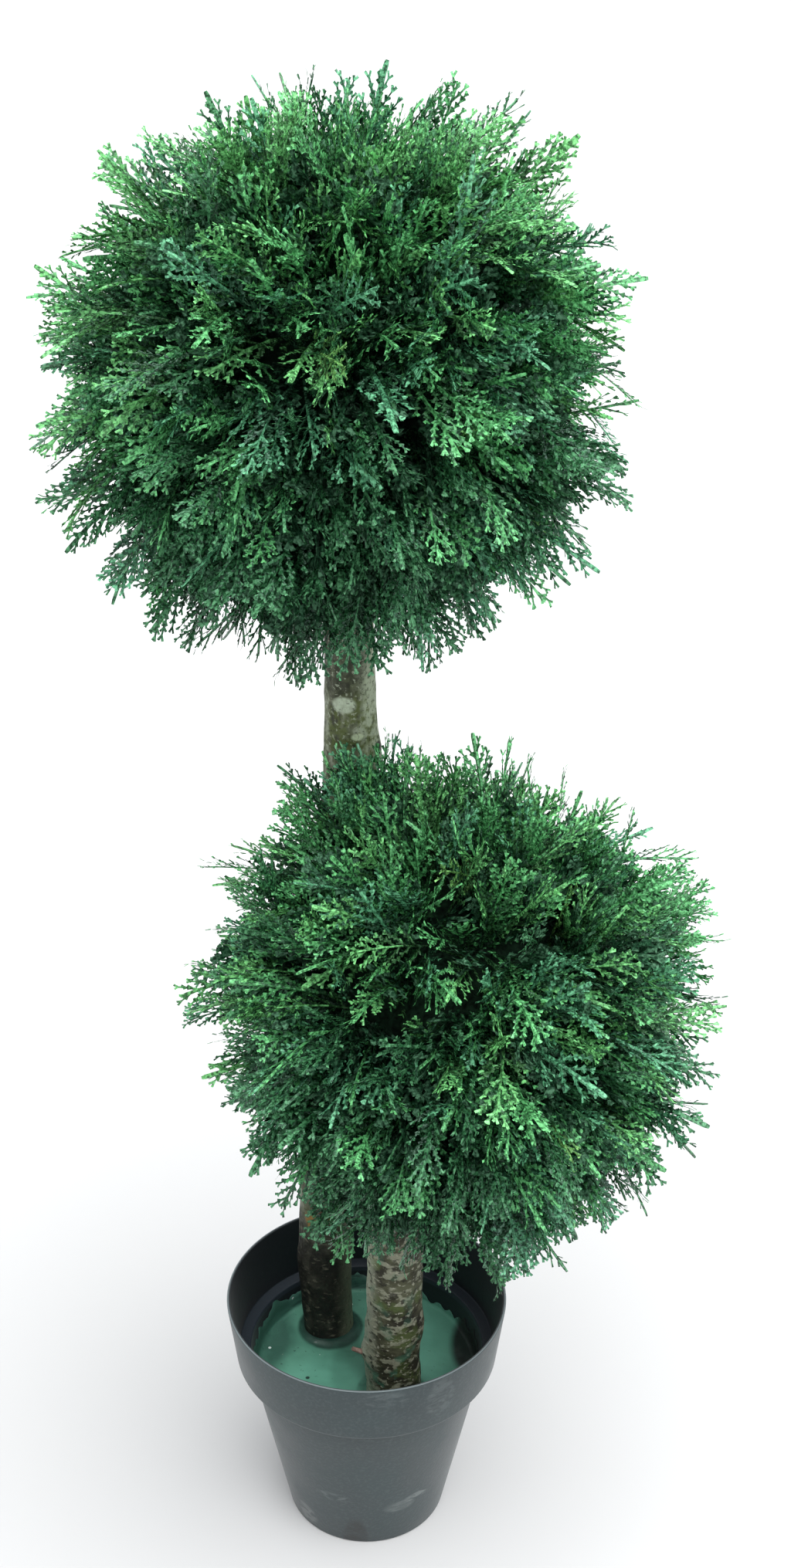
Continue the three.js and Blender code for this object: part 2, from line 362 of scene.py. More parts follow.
def makePot(look):
    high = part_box("pot")[1]
    height, rim = high.z / mm, high.x / mm
    ledgeOut = look["collarRadius"] - look["wall"] + look["ledgeFlare"]
    ledgeIn = look["foot"] + wallSlope(look) * look["ledge"] - look["wall"]
    floorEdge = look["foot"] + wallSlope(look) * look["floor"] - look["wall"]
    corners = [  # radius, height and how far each corner is rounded
        (look["hub"], 0, 0), (look["foot"], 0, look["footRound"]),
        (look["bodyTop"], look["collarFoot"], look["bodyRound"]),
        (look["collarRadius"], look["collarFoot"], look["collarRound"]),
        (rim, height, look["lipRound"]), (rim - look["wall"], height, look["lipRound"]),
        (ledgeOut, look["ledge"], look["ledgeRound"]),
        (ledgeIn, look["ledge"] - look["ledgeFall"], look["ledgeRound"]),
        (floorEdge, look["floor"], look["floorRound"]), (look["hub"], look["floor"], 0),
    ]
    profile = []
    for number, (radius, z, bend) in enumerate(corners):
        if bend:
            roundedCorner(profile, (radius, z), corners[number - 1][:2], corners[number + 1][:2], bend)
        else:
            profile.append(np.array((radius, z), float))
    profile = np.array(profile) * mm
    rings = ringPoints(profile[:, :1], profile[:, 1:], fullTurn(look["sides"]))
    place(closedTube("potShell", rings, potPlastic(look)), "pot", "pot_plastic")


# Trunks: rings on the line of the solid trunk, with bark relief; the shape is in mm
trunkLooks = {
    "trunk_tall": {
        # smooth grey-olive bark, mottled and mossy, with painted light down its right side and painted shadow
        # under the upper ball; dark brown with painted shade and speckled towards the pot
        "piece": "tallTrunk", "finish": "tallBark", "slot": "bark_tall", "sides": 64, "rings": 230,
        "knots": [(893, 0.0, 4.5, 22), (262, 2.6, 2.5, 26)],  # height, angle, rise, spread
        "relief": 0.7,
        "noises": {
            "broad": spots(0.018, 6, stretch=(1, 1, 0.8), distortion=0.5),
            "fine": spots(0.006, 4, stretch=(1, 1, 0.8)),
            "moss": spots(0.03, 4, shift=(3, 1, 2)),
            "speckles": spots(0.008, 3, stretch=(0.8, 0.8, 1.8), shift=(1, 6, 2)),
            "dots": spots(0.0035, 2, shift=(4, 1, 7)),
        },
        "base": [(0.34, (0.03, 0.034, 0.018)), (0.45, (0.08, 0.09, 0.048)),
                 (0.56, (0.17, 0.19, 0.12)), (0.68, (0.36, 0.4, 0.3))],
        "layers": [("X", -0.01, 0.001, 0.75, (0.46, 0.54, 0.38)),  # painted light on the right side
                   ("moss", 0.5, 0.66, 0.6, (0.12, 0.155, 0.05)),
                   ("fine", 0.53, 0.66, 0.75, (0.035, 0.04, 0.022))],
        # dark brown bark low down, made darker still with painted shade from the pot and the lower ball
        "lowShadedBase": [(0.35, (0.006, 0.007, 0.005)), (0.55, (0.015, 0.015, 0.01)), (0.7, (0.05, 0.05, 0.036))],
        # painted light on the right side low down
        "lowLayers": [("X", -0.034, -0.014, 0.75, (0.17, 0.2, 0.125)),
                      ("speckles", 0.58, 0.68, 0.7, (0.13, 0.125, 0.09))],
        "lowEnds": (0.285, 0.4),  # heights between which the lower bark, dark brown with painted shade, gives way
        "marks": [
            mark((-0.012, 0.03, 0.92), 0.045, (0.13, 0.165, 0.05), 0.65,
                 squash=(1, 0.8, 0.7)),  # moss under the upper ball
            mark((-0.022, 0.03, 0.951), 0.0175, (0.56, 0.65, 0.5), 0.9,
                 solid=0.6, squash=(0.95, 0.8, 1.35)),  # lichen
            mark((-0.0075, 0.03, 0.918), 0.008, (0.56, 0.65, 0.44), 0.95,
                 solid=0.7, squash=(0.7, 0.8, 1.2)),  # pale crescent
            mark((-0.03, 0.032, 0.995), 0.05, (0.035, 0.04, 0.025), 0.85, solid=0.6),  # painted shadow under the upper ball
            mark((0.013, 0.047, 0.9), 0.0125, (0.02, 0.018, 0.012), 0.95, solid=1),  # scar
            mark((-0.045, 0.035, 0.926), 0.012, (0.42, 0.46, 0.36), 0.8, solid=0.3),  # pale left edge
            mark((-0.043, 0.027, 0.345), 0.022, (0.3, 0.045, 0.012), 0.9,
                 solid=0.7, squash=(0.8, 1, 1.2)),  # rust
            mark((-0.062, 0.038, 0.338), 0.02, (0.26, 0.15, 0.035), 0.8, solid=0.4),  # yellow-brown stain
        ],
        "over": [("dots", 0.58, 0.68, 0.6, (0.03, 0.032, 0.02)),
                 ("dots", 0.42, 0.32, 0.6, (0.42, 0.47, 0.35), (0.5, 0.8))],
        "glossBy": ("fine", 0.4, 0.62, 0.58, 0.82),
        "reliefBy": ("fine", "broad"), "bump": (0.6, 0.003),
    },
    "trunk_short": {
        # dark olive bark crowded with pale cross flecks, mossy, with green smears of paint low down and
        # painted light down its left side
        "piece": "shortTrunk", "finish": "shortBark", "slot": "bark_short", "sides": 72, "rings": 170,
        "knots": [(272, 0.1, 3.5, 14), (243, 3.3, 3.0, 12)],
        "relief": 1.3,
        "noises": {
            "broad": spots(0.03, 4),
            "moss": spots(0.026, 3, shift=(5, 3, 2)),
            "flecks": spots(0.013, 4, stretch=(0.9, 0.9, 1.4), distortion=0.3),
            "dots": spots(0.005, 2, stretch=(1, 1, 1.4), shift=(2, 8, 3)),
            "cracks": spots(0.008, 4, stretch=(0.9, 0.9, 1.3), shift=(3, 1, 5)),
            "smears": spots(0.02, 3, shift=(7, 2, 1)),
        },
        "base": [(0.33, (0.014, 0.013, 0.007)), (0.5, (0.04, 0.04, 0.021)), (0.66, (0.085, 0.09, 0.05))],
        "layers": [("moss", 0.5, 0.66, 0.65, (0.085, 0.12, 0.035)),
                   ("X", 0.014, -0.004, 0.75, (0.45, 0.5, 0.38)),  # painted light on the left side
                   ("flecks", 0.53, 0.6, 0.85, (0.25, 0.26, 0.185)),
                   ("dots", 0.6, 0.68, 0.7, (0.34, 0.34, 0.26)),
                   ("cracks", 0.56, 0.66, 0.85, (0.014, 0.013, 0.007)),
                   ("smears", 0.56, 0.66, 0.75, (0.05, 0.17, 0.11), (0.2, 0.3, 1, 0.3))],  # paint
        "glossBy": ("flecks", 0.4, 0.6, 0.8, 0.6),
        "reliefBy": ("flecks", "cracks"), "bump": (0.7, 0.003),
    },
}
barkLook = {"roughness": 0.7, "specular": 0.35, "outOfRound": 0.022, "grain": 22}


def barkFinish(look):
    # a base colour with layers over it, others low down on the tall trunk, and then its marks and dots
    finish, tree, shader = newFinish(look["finish"], {**barkLook, **look})
    noises = addNoises(tree, look)
    bark = addLayers(tree, ramp(tree, noises["broad"], look["base"]), look["layers"], noises)
    if "lowShadedBase" in look:
        low = addLayers(tree, ramp(tree, noises["broad"], look["lowShadedBase"]), look["lowLayers"], noises)
        bark = blendColours(tree, stretchRange(tree, partOf(tree, "Z"), *look["lowEnds"]), low, bark)
        bark = addMarks(tree, bark, look["marks"], noises["fine"])
        bark = addLayers(tree, bark, look["over"], noises)
    relief = sums(tree, "ADD", *(noises[name] for name in look["reliefBy"]))
    setSurface(tree, shader, bark, relief, look, noises)
    return finish


def trunkLine(node):
    # height, middle and mean radius of each whole ring of the solid trunk
    vertices = np.array([v.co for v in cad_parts[node].data.vertices])
    heights = np.round(vertices[:, 2], 4)
    rows = []
    for height in np.unique(heights):
        ring = vertices[heights == height]
        if len(ring) >= 10:  # and not the odd corner of a cap
            middle = ring[:, :2].mean(0)
            rows.append((height, *middle, np.linalg.norm(ring[:, :2] - middle, axis=1).mean()))
    return np.array(rows)


trunkLines = {node: trunkLine(node) for node in trunkLooks}


def trunkAt(node, heights):
    # middle x and y and radius of a trunk at one height or at many
    line = trunkLines[node]
    return [np.interp(heights, line[:, 0], line[:, column]) for column in (1, 2, 3)]


def makeTrunk(node, look):
    line = trunkLines[node]
    heights = np.linspace(line[0, 0], line[-1, 0], look["rings"])
    middleX, middleY, radius = trunkAt(node, heights)
    turn = fullTurn(look["sides"])
    rings = np.zeros((look["rings"], look["sides"], 3))
    for number, height in enumerate(heights):
        z = height / mm
        lobes = np.sin(2 * turn + z / 90) + 0.6 * np.sin(3 * turn - z / 55)  # wind up the trunk
        wide = radius[number] * (1 + barkLook["outOfRound"] * lobes)
        for knotHeight, knotTurn, rise, spread in look["knots"]:
            aside = (np.mod(turn - knotTurn + math.pi, 2 * math.pi) - math.pi) * radius[number] / mm
            wide = wide + rise * mm * np.exp(-((z - knotHeight) ** 2 + aside ** 2) / spread ** 2)
        for side, angle in enumerate(turn):
            bark = ripple(math.cos(angle) * 2, math.sin(angle) * 2, z / barkLook["grain"], 4)
            wide[side] += look["relief"] * mm * bark
        rings[number, :, 0] = middleX[number] + wide * np.cos(turn)
        rings[number, :, 1] = middleY[number] + wide * np.sin(turn)
        rings[number, :, 2] = height
    place(closedTube(look["piece"], rings, barkFinish(look)), node, look["slot"])


# Broken twig near the foot of the short trunk, in mm
twigLook = {
    "height": 236, "turn": 3.35, "length": 15, "rise": 9,
    "thick": 3.6, "thin": 2.2,      # half its width at the root and at the break
    "sunk": 7,                      # how far its root reaches into the trunk
    "sides": 14, "steps": 7, "rough": 0.18, "splinter": 2.2,
    "roughness": 0.8, "specular": 0.25,
    "grain": spots(0.004, 3, stretch=(1, 1, 0.3)),
    "wood": [(0.35, (0.16, 0.1, 0.075)), (0.65, (0.36, 0.25, 0.21))],
    "bump": (0.5, 0.001),
}


def brokenWood(look):
    finish, tree, shader = newFinish("brokenWood", look)
    grain = addNoise(tree, look["grain"])
    setSurface(tree, shader, ramp(tree, grain, look["wood"]), grain, look)
    return finish


def makeTwig(look):
    height = look["height"] * mm
    middleX, middleY, radius = trunkAt("trunk_short", height)
    out = np.array([math.cos(look["turn"]), math.sin(look["turn"]), 0])
    start = np.array([middleX, middleY, height]) + out * (radius - look["sunk"] * mm)
    along = unit(out * look["length"] + up * look["rise"])
    aside = unit(np.cross(up, along))
    over = np.cross(along, aside)
    rings = []
    for step in range(look["steps"]):
        share = step / (look["steps"] - 1)
        wide = (look["thick"] + (look["thin"] - look["thick"]) * share) * mm
        ring = []
        for angle in fullTurn(look["sides"]):
            x, y = math.cos(angle), math.sin(angle)
            rough = 1 + look["rough"] * noise.noise(Vector((x * 2, y * 2, share * 4)))
            splinter = share ** 4 * look["splinter"] * mm * noise.noise(Vector((x * 3, y * 3, 9)))
            middle = start + along * ((look["length"] + look["sunk"]) * mm * share + splinter)
            ring.append(middle + (aside * x + over * y) * wide * rough)
        rings.append(ring)
    twig = closedTube("brokenTwig", np.array(rings), brokenWood(look))
    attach(twig, "root")


# Painted cement, in mm: the paint climbs the wall in brush marks, most on the left, and a little the trunks
fillLook = {
    "sides": 220, "rings": 60, "rough": 1.4,
    "foot": 84, "footRings": (0.15, 0.4, 0.65, 0.9),  # shares of the way up the hidden wall
    "climb": 10, "climbLeft": 11, "leftTurn": 2.5, "climbRagged": 16, "fineRagged": 0.35,
    "climbLeast": 1.0, "climbMost": 26,
    "paintRings": ((1.0, 0.1), (0.995, 0.3), (0.6, 0.4), (0.25, 0.5)),  # share of the climb, off the wall
    "offWall": 2.5,
    "trunkRise": {"trunk_tall": 4, "trunk_short": 2}, "riseWidth": 6,
    "roughness": 0.45, "specular": 0.4,
    "noises": {
        "clouds": spots(0.05, 4),
        "brush": spots(0.012, 5, stretch=(0.6, 0.6, 2.2), distortion=0.5),
        "specks": spots(0.005, 2, shift=(2, 5, 1)),
        "grit": spots(0.006, 1, shift=(9, 4, 7)),
    },
    "greens": [(0.35, (0.085, 0.255, 0.18)), (0.65, (0.135, 0.38, 0.27))],
    "thinPaint": [(0.4, (0.015, 0.045, 0.037)), (0.62, (0.045, 0.13, 0.1))],
    "thinHeights": (0.1795, 0.182, 0, 0.85),  # from and to, and how strong at each
    "specks": [("specks", 0.7, 0.74, 0.7, (0.02, 0.06, 0.045)),
               ("grit", 0.775, 0.79, 0.9, (0.55, 0.65, 0.6))],
    "marks": [
        mark((-0.012, -0.012, 0.178), 0.068, (0.045, 0.14, 0.095), 0.85,
             solid=0.75, squash=(1.6, 0.75, 1)),  # shade between the trunks
        mark((-0.125, 0.05, 0.178), 0.07, (0.035, 0.11, 0.08), 0.9,
             solid=0.8, squash=(1, 0.6, 1)),  # shade at the left
        mark((-0.045, -0.045, 0.178), 0.07, (0.17, 0.48, 0.35), 0.5,
             solid=0.8, squash=(1, 0.8, 1)),  # painted light
        # painted light on the right, under the lower ball
        mark((0.083, 0.04, 0.178), 0.07, (0.17, 0.48, 0.35), 0.55, solid=0.8, squash=(1, 0.6, 1)),
        mark((0.142, 0.025, 0.178), 0.08, (0.016, 0.02, 0.017), 1.0,
             solid=0.95, squash=(1, 0.7, 1), edge=(0.25, 0.45)),  # near-black patch at the right, by the wall
        mark((-0.04, 0.057, 0.18), 0.06, (0.01, 0.036, 0.026), 0.92,
             solid=0.9, edge=(0.28, 0.4)),  # painted shade round the foot of the tall trunk
        mark((0.027, -0.045, 0.18), 0.06, (0.03, 0.09, 0.06), 0.7,
             solid=0.6, edge=(0.26, 0.36)),  # painted shadow round the short trunk
        mark((-0.107, 0.024, 0.178), 0.0026, (0.7, 0.8, 0.76), 1, solid=1, edge=(0.1, 0.4)),  # pale speck
        mark((-0.064, -0.023, 0.178), 0.0034, (0.02, 0.05, 0.04), 1, solid=1, edge=(0.1, 0.4)),  # dark speck
    ],
    "glossBy": ("brush", 0.35, 0.65, 0.38, 0.58),
    "bump": (0.35, 0.003), "brushRelief": 0.4,
}


def fillPaint(look):
    # brushed green paint over rough cement, thin and dark up the wall and near black in a patch by the wall,
    # with painted shade and painted light in places
    finish, tree, shader = newFinish("fillPaint", look)
    noises = addNoises(tree, look)
    brush = noises["brush"]
    thin = stretchRange(tree, partOf(tree, "Z"), *look["thinHeights"])
    green = ramp(tree, noises["clouds"], look["greens"])
    green = blendColours(tree, thin, green, ramp(tree, brush, look["thinPaint"]))
    green = addLayers(tree, green, look["specks"], noises)
    green = addMarks(tree, green, look["marks"], brush)
    relief = sums(tree, "ADD", noises["clouds"], sums(tree, "MULTIPLY", brush, look["brushRelief"]))
    setSurface(tree, shader, green, relief, look, noises)
    return finish


def paintClimb(look, angle):
    # how far the paint climbs the wall at one angle, mm
    x, y = math.cos(angle), math.sin(angle)
    wave = ripple(x * 3, y * 3, 4, 5) + look["fineRagged"] * noise.noise(Vector((x * 17, y * 17, 8)))
    climb = look["climb"] + look["climbLeft"] * max(0, math.cos(angle - look["leftTurn"]))
    return min(max(look["climbLeast"], climb + look["climbRagged"] * wave), look["climbMost"])


def makeFill(look):
    low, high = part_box("fill")
    top, radius, footRadius = high.z, high.x, look["foot"] * mm
    turn = fullTurn(look["sides"])
    rings = [ringPoints(footRadius, low.z, turn)]
    for share in look["footRings"]:
        wide = footRadius + (radius - footRadius) * share
        rings.append(ringPoints(wide, low.z + (top - low.z) * share, turn))
    climbs = np.array([paintClimb(look, angle) * mm for angle in turn])
    for lift, off in look["paintRings"]:
        wide = radius + wallSlope(potLook) * climbs * lift - off * mm
        rings.append(ringPoints(wide, top + climbs * lift, turn))
    for ring in range(look["rings"]):
        wide = (radius - look["offWall"] * mm) * (1 - ring / (look["rings"] - 0.5))
        x, y = wide * np.cos(turn), wide * np.sin(turn)
        z = np.full(look["sides"], top)
        for node, rise in look["trunkRise"].items():
            middleX, middleY, trunkRadius = trunkAt(node, top)
            away = np.maximum(np.hypot(x - middleX, y - middleY) - trunkRadius, 0)
            z += rise * mm * np.exp(-(away / (look["riseWidth"] * mm)) ** 2)
        for side in range(look["sides"]):
            z[side] += look["rough"] * mm * ripple(x[side] * 30, y[side] * 30, 2, 3)
        rings.append(np.stack([x, y, z], axis=-1))
    place(closedTube("paintedFill", np.array(rings), fillPaint(look)), "fill", "painted_cement")


# Fronds: flat fans of side branches with blunt lobes on a strap of a stalk, in mm from the tip
frondShapes = {
    "fan": {
        "leafy": 84, "gap": 14.2,  # leafy length, and the space between side branches on one side
        "branch": 31, "branchWidth": 2.3,
        "lobeStep": 6.4, "lobeLength": 4.8, "lobeWidth": 2.3,
        "kinds": ("thin", "strap", "stout", "thin", "stout", "thin", "strap", "stout"),
    },
    "filler": {
        "leafy": 62, "gap": 14,
        "branch": 25, "branchWidth": 3.4,
        "lobeStep": 8, "lobeLength": 7, "lobeWidth": 4.0,
        "kinds": ("thin", "thin", "stout"),
    },
}
frondParts = {"Leaves": 1, "Tips": 1.65, "Inner": 0.3}  # how bright each part of a frond is: the inner part is painted shade, the tips paler, partly as a painted highlight
stalkKinds = {
    "thin": {"half": 1.1, "high": 1.1, "end": -4},
    "stout": {"half": 1.7, "high": 1.5, "end": 2},
    "strap": {"half": 2.2, "high": 1.5, "end": 14},  # runs on bare beyond the leaves
}
frondSeed = 101


def frondTemplate(shape, stalk, random):
    # points and faces of the leaves and, apart from them, of their paler tips, partly a painted highlight,
    # and of the ones further in, in painted shade
    parts = {part: ([], []) for part in frondParts}

    def heading(angle, slope):
        return np.array([math.sin(angle), math.cos(angle), slope])

    def crossing(angle, roll):
        return np.array([math.cos(angle), -math.sin(angle), random.uniform(-roll, roll)])

    def addStrip(part, base, end, wide, narrow, across):
        points, faces = parts[part]
        faces.append([len(points) + corner for corner in range(4)])
        points.extend([base - across * wide / 2, base + across * wide / 2, end + across * narrow / 2,
                       end - across * narrow / 2 + (0, 0, random.uniform(-0.5, 0.5))])

    def addLobe(part, base, angle, length, slope):
        # a blunt finger, widest at its end, rolled a little out of the fan
        across = crossing(angle, 0.4)
        end = base + heading(angle, slope) * length
        addStrip(part, base, end, shape["lobeWidth"] * 0.8, shape["lobeWidth"], across)

    def addBranch(base, angle, reach, slope, inner):
        lobes = max(1, round(reach / shape["lobeStep"]))
        spine = [base]
        for step in range(lobes):
            bent = angle * (1 - 0.35 * step / lobes) + random.uniform(-0.05, 0.05)
            spine.append(spine[-1] + heading(bent, slope) * reach / lobes)
        across = crossing(angle, 0.3)
        half = (lobes + 1) // 2
        # inner branches go in painted shade, and their tips in the plain leaf colour
        leaves, tips = ("Inner", "Leaves") if inner else ("Leaves", "Tips")
        wide, middling, narrow = (shape["branchWidth"] * share for share in (1, 0.85, 0.7))
        addStrip(leaves, spine[0], spine[half], wide, middling, across)
        if lobes > half:
            addStrip(leaves, spine[half], spine[lobes], middling, narrow, across)
        for step in range(1, lobes + 1):
            bent = angle * (1 - 0.3 * step / lobes)
            openings = (-random.uniform(0.35, 0.6), random.uniform(0.35, 0.6))
            if step == lobes:
                openings = (-random.uniform(0.3, 0.5), random.uniform(0.3, 0.5))
            for opening in openings:
                part = tips if step == lobes or random.random() < 0.1 else leaves
                start = spine[step] - heading(bent, slope) * random.uniform(0, 1.5) * (step < lobes)
                addLobe(part, start, bent + opening, shape["lobeLength"] * random.uniform(0.75, 1.2),
                        slope + random.uniform(-0.35, 0.35))

    def addStalk(half, high, end):
        # three-sided, back to the root of the frond; each ring has a place along it and a width
        sections = {
            "Inner": ((-400, 1), (-95, 1), (-60, 1)),
            "Leaves": ((-60, 1), (-35, 1), (-14, 0.95)),
            "Tips": ((-14, 0.95), (end - 4, 1.1), (end, 0.8)),
        }
        for part, rings in sections.items():
            points, faces = parts[part]
            for number, (at, wide) in enumerate(rings):
                first = len(points)
                corners = [(-half * wide, at, -0.2), (half * wide, at, -0.2), (0, at, high * wide)]
                points.extend(np.array(corners, float))
                if number:
                    for side in range(3):
                        beside = (side + 1) % 3
                        faces.append([first - 3 + side, first - 3 + beside, first + beside, first + side])

    addStalk(**stalkKinds[stalk])
    count = round(2 * shape["leafy"] / shape["gap"])
    for number in range(count):
        side = 1 if number % 2 else -1
        share = (number + 0.4) / count
        longer = np.interp(share, (0, 0.25, 0.6, 1), (0.34, 0.75, 1, 0.72))
        reach = shape["branch"] * longer * random.uniform(0.75, 1.15)
        angle = side * math.radians(np.interp(share, (0, 1), (26, 42)) + random.uniform(-5, 5))
        base = np.array([0, -shape["leafy"] * share - 5, 0])
        addBranch(base, angle, reach, random.uniform(-0.1, 0.35), share > 0.5)
    if stalk != "strap":
        addBranch(np.array([0, -7.0, 0]), random.uniform(-0.1, 0.1), 7, 0.1, False)
    return {part: (np.array(points), np.array(faces)) for part, (points, faces) in parts.items()}


def bendTemplate(points, root, way, tipWay, aside, length, size):
    # sets one template on many fronds at once; each bends from the way it starts to the way its tip faces
    span = (length / mm)[:, None]
    along = np.maximum(1 + points[None, :, 1] * size[:, None] / span, -0.1)[:, :, None]
    turnOver = (tipWay - way)[:, None, :]
    tangent = unit(way[:, None, :] + along * turnOver)
    normal = unit(np.cross(tangent, aside[:, None, :]))
    line = root[:, None, :] + length[:, None, None] * (along * way[:, None, :] + 0.5 * along ** 2 * turnOver)
    scale = size[:, None, None] * mm
    return line + scale * (points[None, :, :1] * aside[:, None, :] + points[None, :, 2:] * normal)


# Balls of sprays: bunches on an even sphere, each a whorl of fronds that curls over and droops; in mm
ballLooks = {
    "foliage_upper": {
        "piece": "upper", "slot": "sprays_upper", "centre": (-27, 58, 1257), "tips": 246, "most": 277,
        # a direction, and how much farther the ball reaches there
        "bulges": [((-0.35, 0.3, 0.88), -6), ((0.06, 0.1, 0.99), -24), ((0.38, 0.1, 0.92), 12),
                   ((0.75, 0.2, 0.6), 7), ((0.97, 0, 0), -7),
                   ((-0.9, 0, 0.3), -5), ((-0.95, -0.1, -0.15), 8), ((-0.65, -0.2, -0.65), -6),
                   ((-0.3, -0.25, -0.93), 13), ((0.3, -0.25, -0.93), -10), ((0.7, -0.15, -0.65), 13)],
        "bunches": 158, "singles": 190, "seed": 5,
        # tips of fronds that stand out along its top
        "handSet": [(-76, 82, 1506), (-67, 76, 1502), (-45, 88, 1499), (-26, 80, 1495), (2, 86, 1506),
                    (25, 80, 1502), (38, 88, 1497), (61, 78, 1488), (93, 84, 1497), (102, 80, 1500),
                    (129, 82, 1472), (155, 78, 1440), (-130, 84, 1482), (-101, 80, 1476), (-170, 82, 1466)],
    },
    "foliage_lower": {
        "piece": "lower", "slot": "sprays_lower", "centre": (88, -42, 657), "tips": 237, "most": 269,
        "bulges": [((-0.37, 0.15, 0.91), 25), ((-0.97, 0.1, 0.2), 19), ((0.85, 0, 0.5), 15),
                   ((0.9, 0, -0.3), -9), ((-0.85, -0.2, -0.4), -29), ((-0.5, -0.3, -0.8), 2),
                   ((0.25, -0.3, -0.9), -12)],
        "bunches": 152, "singles": 180, "seed": 17,
        # tips of fronds that stand up in front of the tall trunk
        "handSet": [(-31, 12, 917), (-24, 12, 911), (-14, 12, 918), (-3, 12, 916), (7, 12, 909),
                    (16, 12, 912), (-34, 6, 902), (-32, 6, 889), (-24, 6, 899), (-16, 6, 901),
                    (1, 6, 894), (14, 6, 892), (-31, -4, 881), (-22, -4, 886), (-8, -4, 881),
                    (10, -4, 878), (-32, 8, 907), (-28, 8, 905), (-20, 8, 908), (-9, 8, 906),
                    (3, 8, 903), (-33, 0, 891), (-28, 0, 891), (-24, 0, 894), (-12, 0, 892), (-2, 0, 889)],
    },
}
bunchLook = {
    "root": 130, "rootScatter": 5,  # how far from the middle the fronds start
    "fans": 8, "fillers": 4,        # fronds of each shape in a bunch
    "startTilt": (4, 38), "tipTilt": (0, 28),  # degrees from the middle of the bunch, and more at the tip
    "swing": 0.7, "twist": 0.4,     # how unevenly fronds stand round a bunch, and how they roll, radians
    "droop": 0.36,
    "uneven": 9,                    # how much whole bunches stand out or lie back
    "ragged": (-38, 24),            # and how much single fronds do, only a few of them by the most
    "fillerReach": (180, 220),
    "lengths": (70, 210), "sizes": (0.85, 1.15),
    "bunchStray": 0.08, "singleStray": 0.06,  # how far directions stray from even ones
    "singleTilt": (0, 10), "handSetTilt": (0, 8),
    "sameTone": 0.6, "lime": 0.01,  # shares of fronds in the tone of their bunch, and in lime
    "tries": 8,
    "trunkRoom": 3, "overTrunk": 10,  # kept clear beside and above the trunks
    "singleSeeds": 1000, "handSetSeeds": 2000,
}
heartLook = {
    "radius": 140, "lumps": 9, "sides": 72, "rings": 37,
    "roughness": 0.9, "specular": 0.1,
    "strands": spots(0.01, 4, distortion=1.5),
    "shades": [(0.35, (0.002, 0.005, 0.003)), (0.7, (0.01, 0.03, 0.015))],
    "bump": (0.8, 0.004),
}
greenLook = {
    "roughness": 0.27, "specular": 0.5, "specularTint": (0.7, 1, 0.88),
    "blotches": spots(0.0034, 3), "darker": 0.3, "paler": 1.6,
    "scales": spots(0.0024, 1), "bump": (0.8, 0.0016),
    "lowShade": (0.45, 0.72, 0.72, 1),  # painted shade low down: heights from and to, and how bright at each
    # painted light at the top, the same way
    "topLight": (1.3, 1.52, 1, 1.15),
}
paintedLightWay = unit(np.array([0.0, 0.35, 1.0]))  # the way the paler tones gather, as painted light above and painted shade below
tones = {
    "leafGreen": {"colour": (0.059, 0.245, 0.08), "share": 0.36, "risesWith": 1.2},
    "deepGreen": {"colour": (0.025, 0.116, 0.043), "share": 0.3, "risesWith": -2.6},
    "tealGreen": {"colour": (0.052, 0.2, 0.098), "share": 0.2, "risesWith": 0},
    "freshGreen": {"colour": (0.086, 0.29, 0.09), "share": 0.14, "risesWith": 2.6},
    "limeGreen": {"colour": (0.105, 0.27, 0.07), "share": 0, "risesWith": 0},       # a few single fronds
    "shadeGreen": {"colour": (0.012, 0.06, 0.025), "share": 0, "risesWith": 0,      # the same plastic in painted shade, for fillers deep in a ball
                   "roughness": 0.6, "specular": 0.15},
}
handSetTones = ("deepGreen", "tealGreen", "leafGreen")


def mouldedGreen(name, colour, look):
    # moulded evergreen plastic: blotchy, with the fine scale pattern of the mould, painted shade low down and
    # painted light at the top
    finish, tree, shader = newFinish(name, look)
    shader.inputs["Specular Tint"].default_value = (*look["specularTint"], 1)
    darker = tuple(look["darker"] * c for c in colour)
    paler = tuple(min(1, look["paler"] * c + 0.02) for c in colour)
    blotches = addNoise(tree, look["blotches"])
    colours = ramp(tree, blotches, [(0.4, darker), (0.5, colour), (0.6, paler)])
    z = partOf(tree, "Z")
    low, top = (stretchRange(tree, z, *look[fade]) for fade in ("lowShade", "topLight"))
    colours = blendColours(tree, 1, colours, sums(tree, "MULTIPLY", low, top), "MULTIPLY")
    setSurface(tree, shader, colours, addNoise(tree, look["scales"]), look)
    return finish


def darkHeart(look):
    # shaded inside of a ball, where stalks are pushed into it
    finish, tree, shader = newFinish("darkHeart", look)
    strands = addNoise(tree, look["strands"])
    setSurface(tree, shader, ramp(tree, strands, look["shades"]), strands, look)
    return finish


def strayDirection(number, count, stray, random):
    # one of count directions spread evenly over a sphere, and a little astray
    rise = 1 - 2 * (number + 0.5) / count
    across = math.sqrt(1 - rise * rise)
    turn = number * math.pi * (3 - math.sqrt(5))
    even = np.array([across * math.cos(turn), across * math.sin(turn), rise])
    return unit(even + random.normal(size=3) * stray)


def clearOfTrunks(path):
    for node, line in trunkLines.items():
        inside = (path[:, 2] > line[0, 0]) & (path[:, 2] < line[-1, 0] + bunchLook["overTrunk"] * mm)
        middleX, middleY, radius = trunkAt(node, path[:, 2])
        away = np.hypot(path[:, 0] - middleX, path[:, 1] - middleY)
        if np.any(inside & (away < radius + bunchLook["trunkRoom"] * mm)):
            return False
    return True


def bulgeAt(look, way):
    # how much farther than its mean a ball reaches one way
    return sum(rise * mm * max(0, np.dot(way, unit(np.array(direction)))) ** 8
               for direction, rise in look["bulges"])


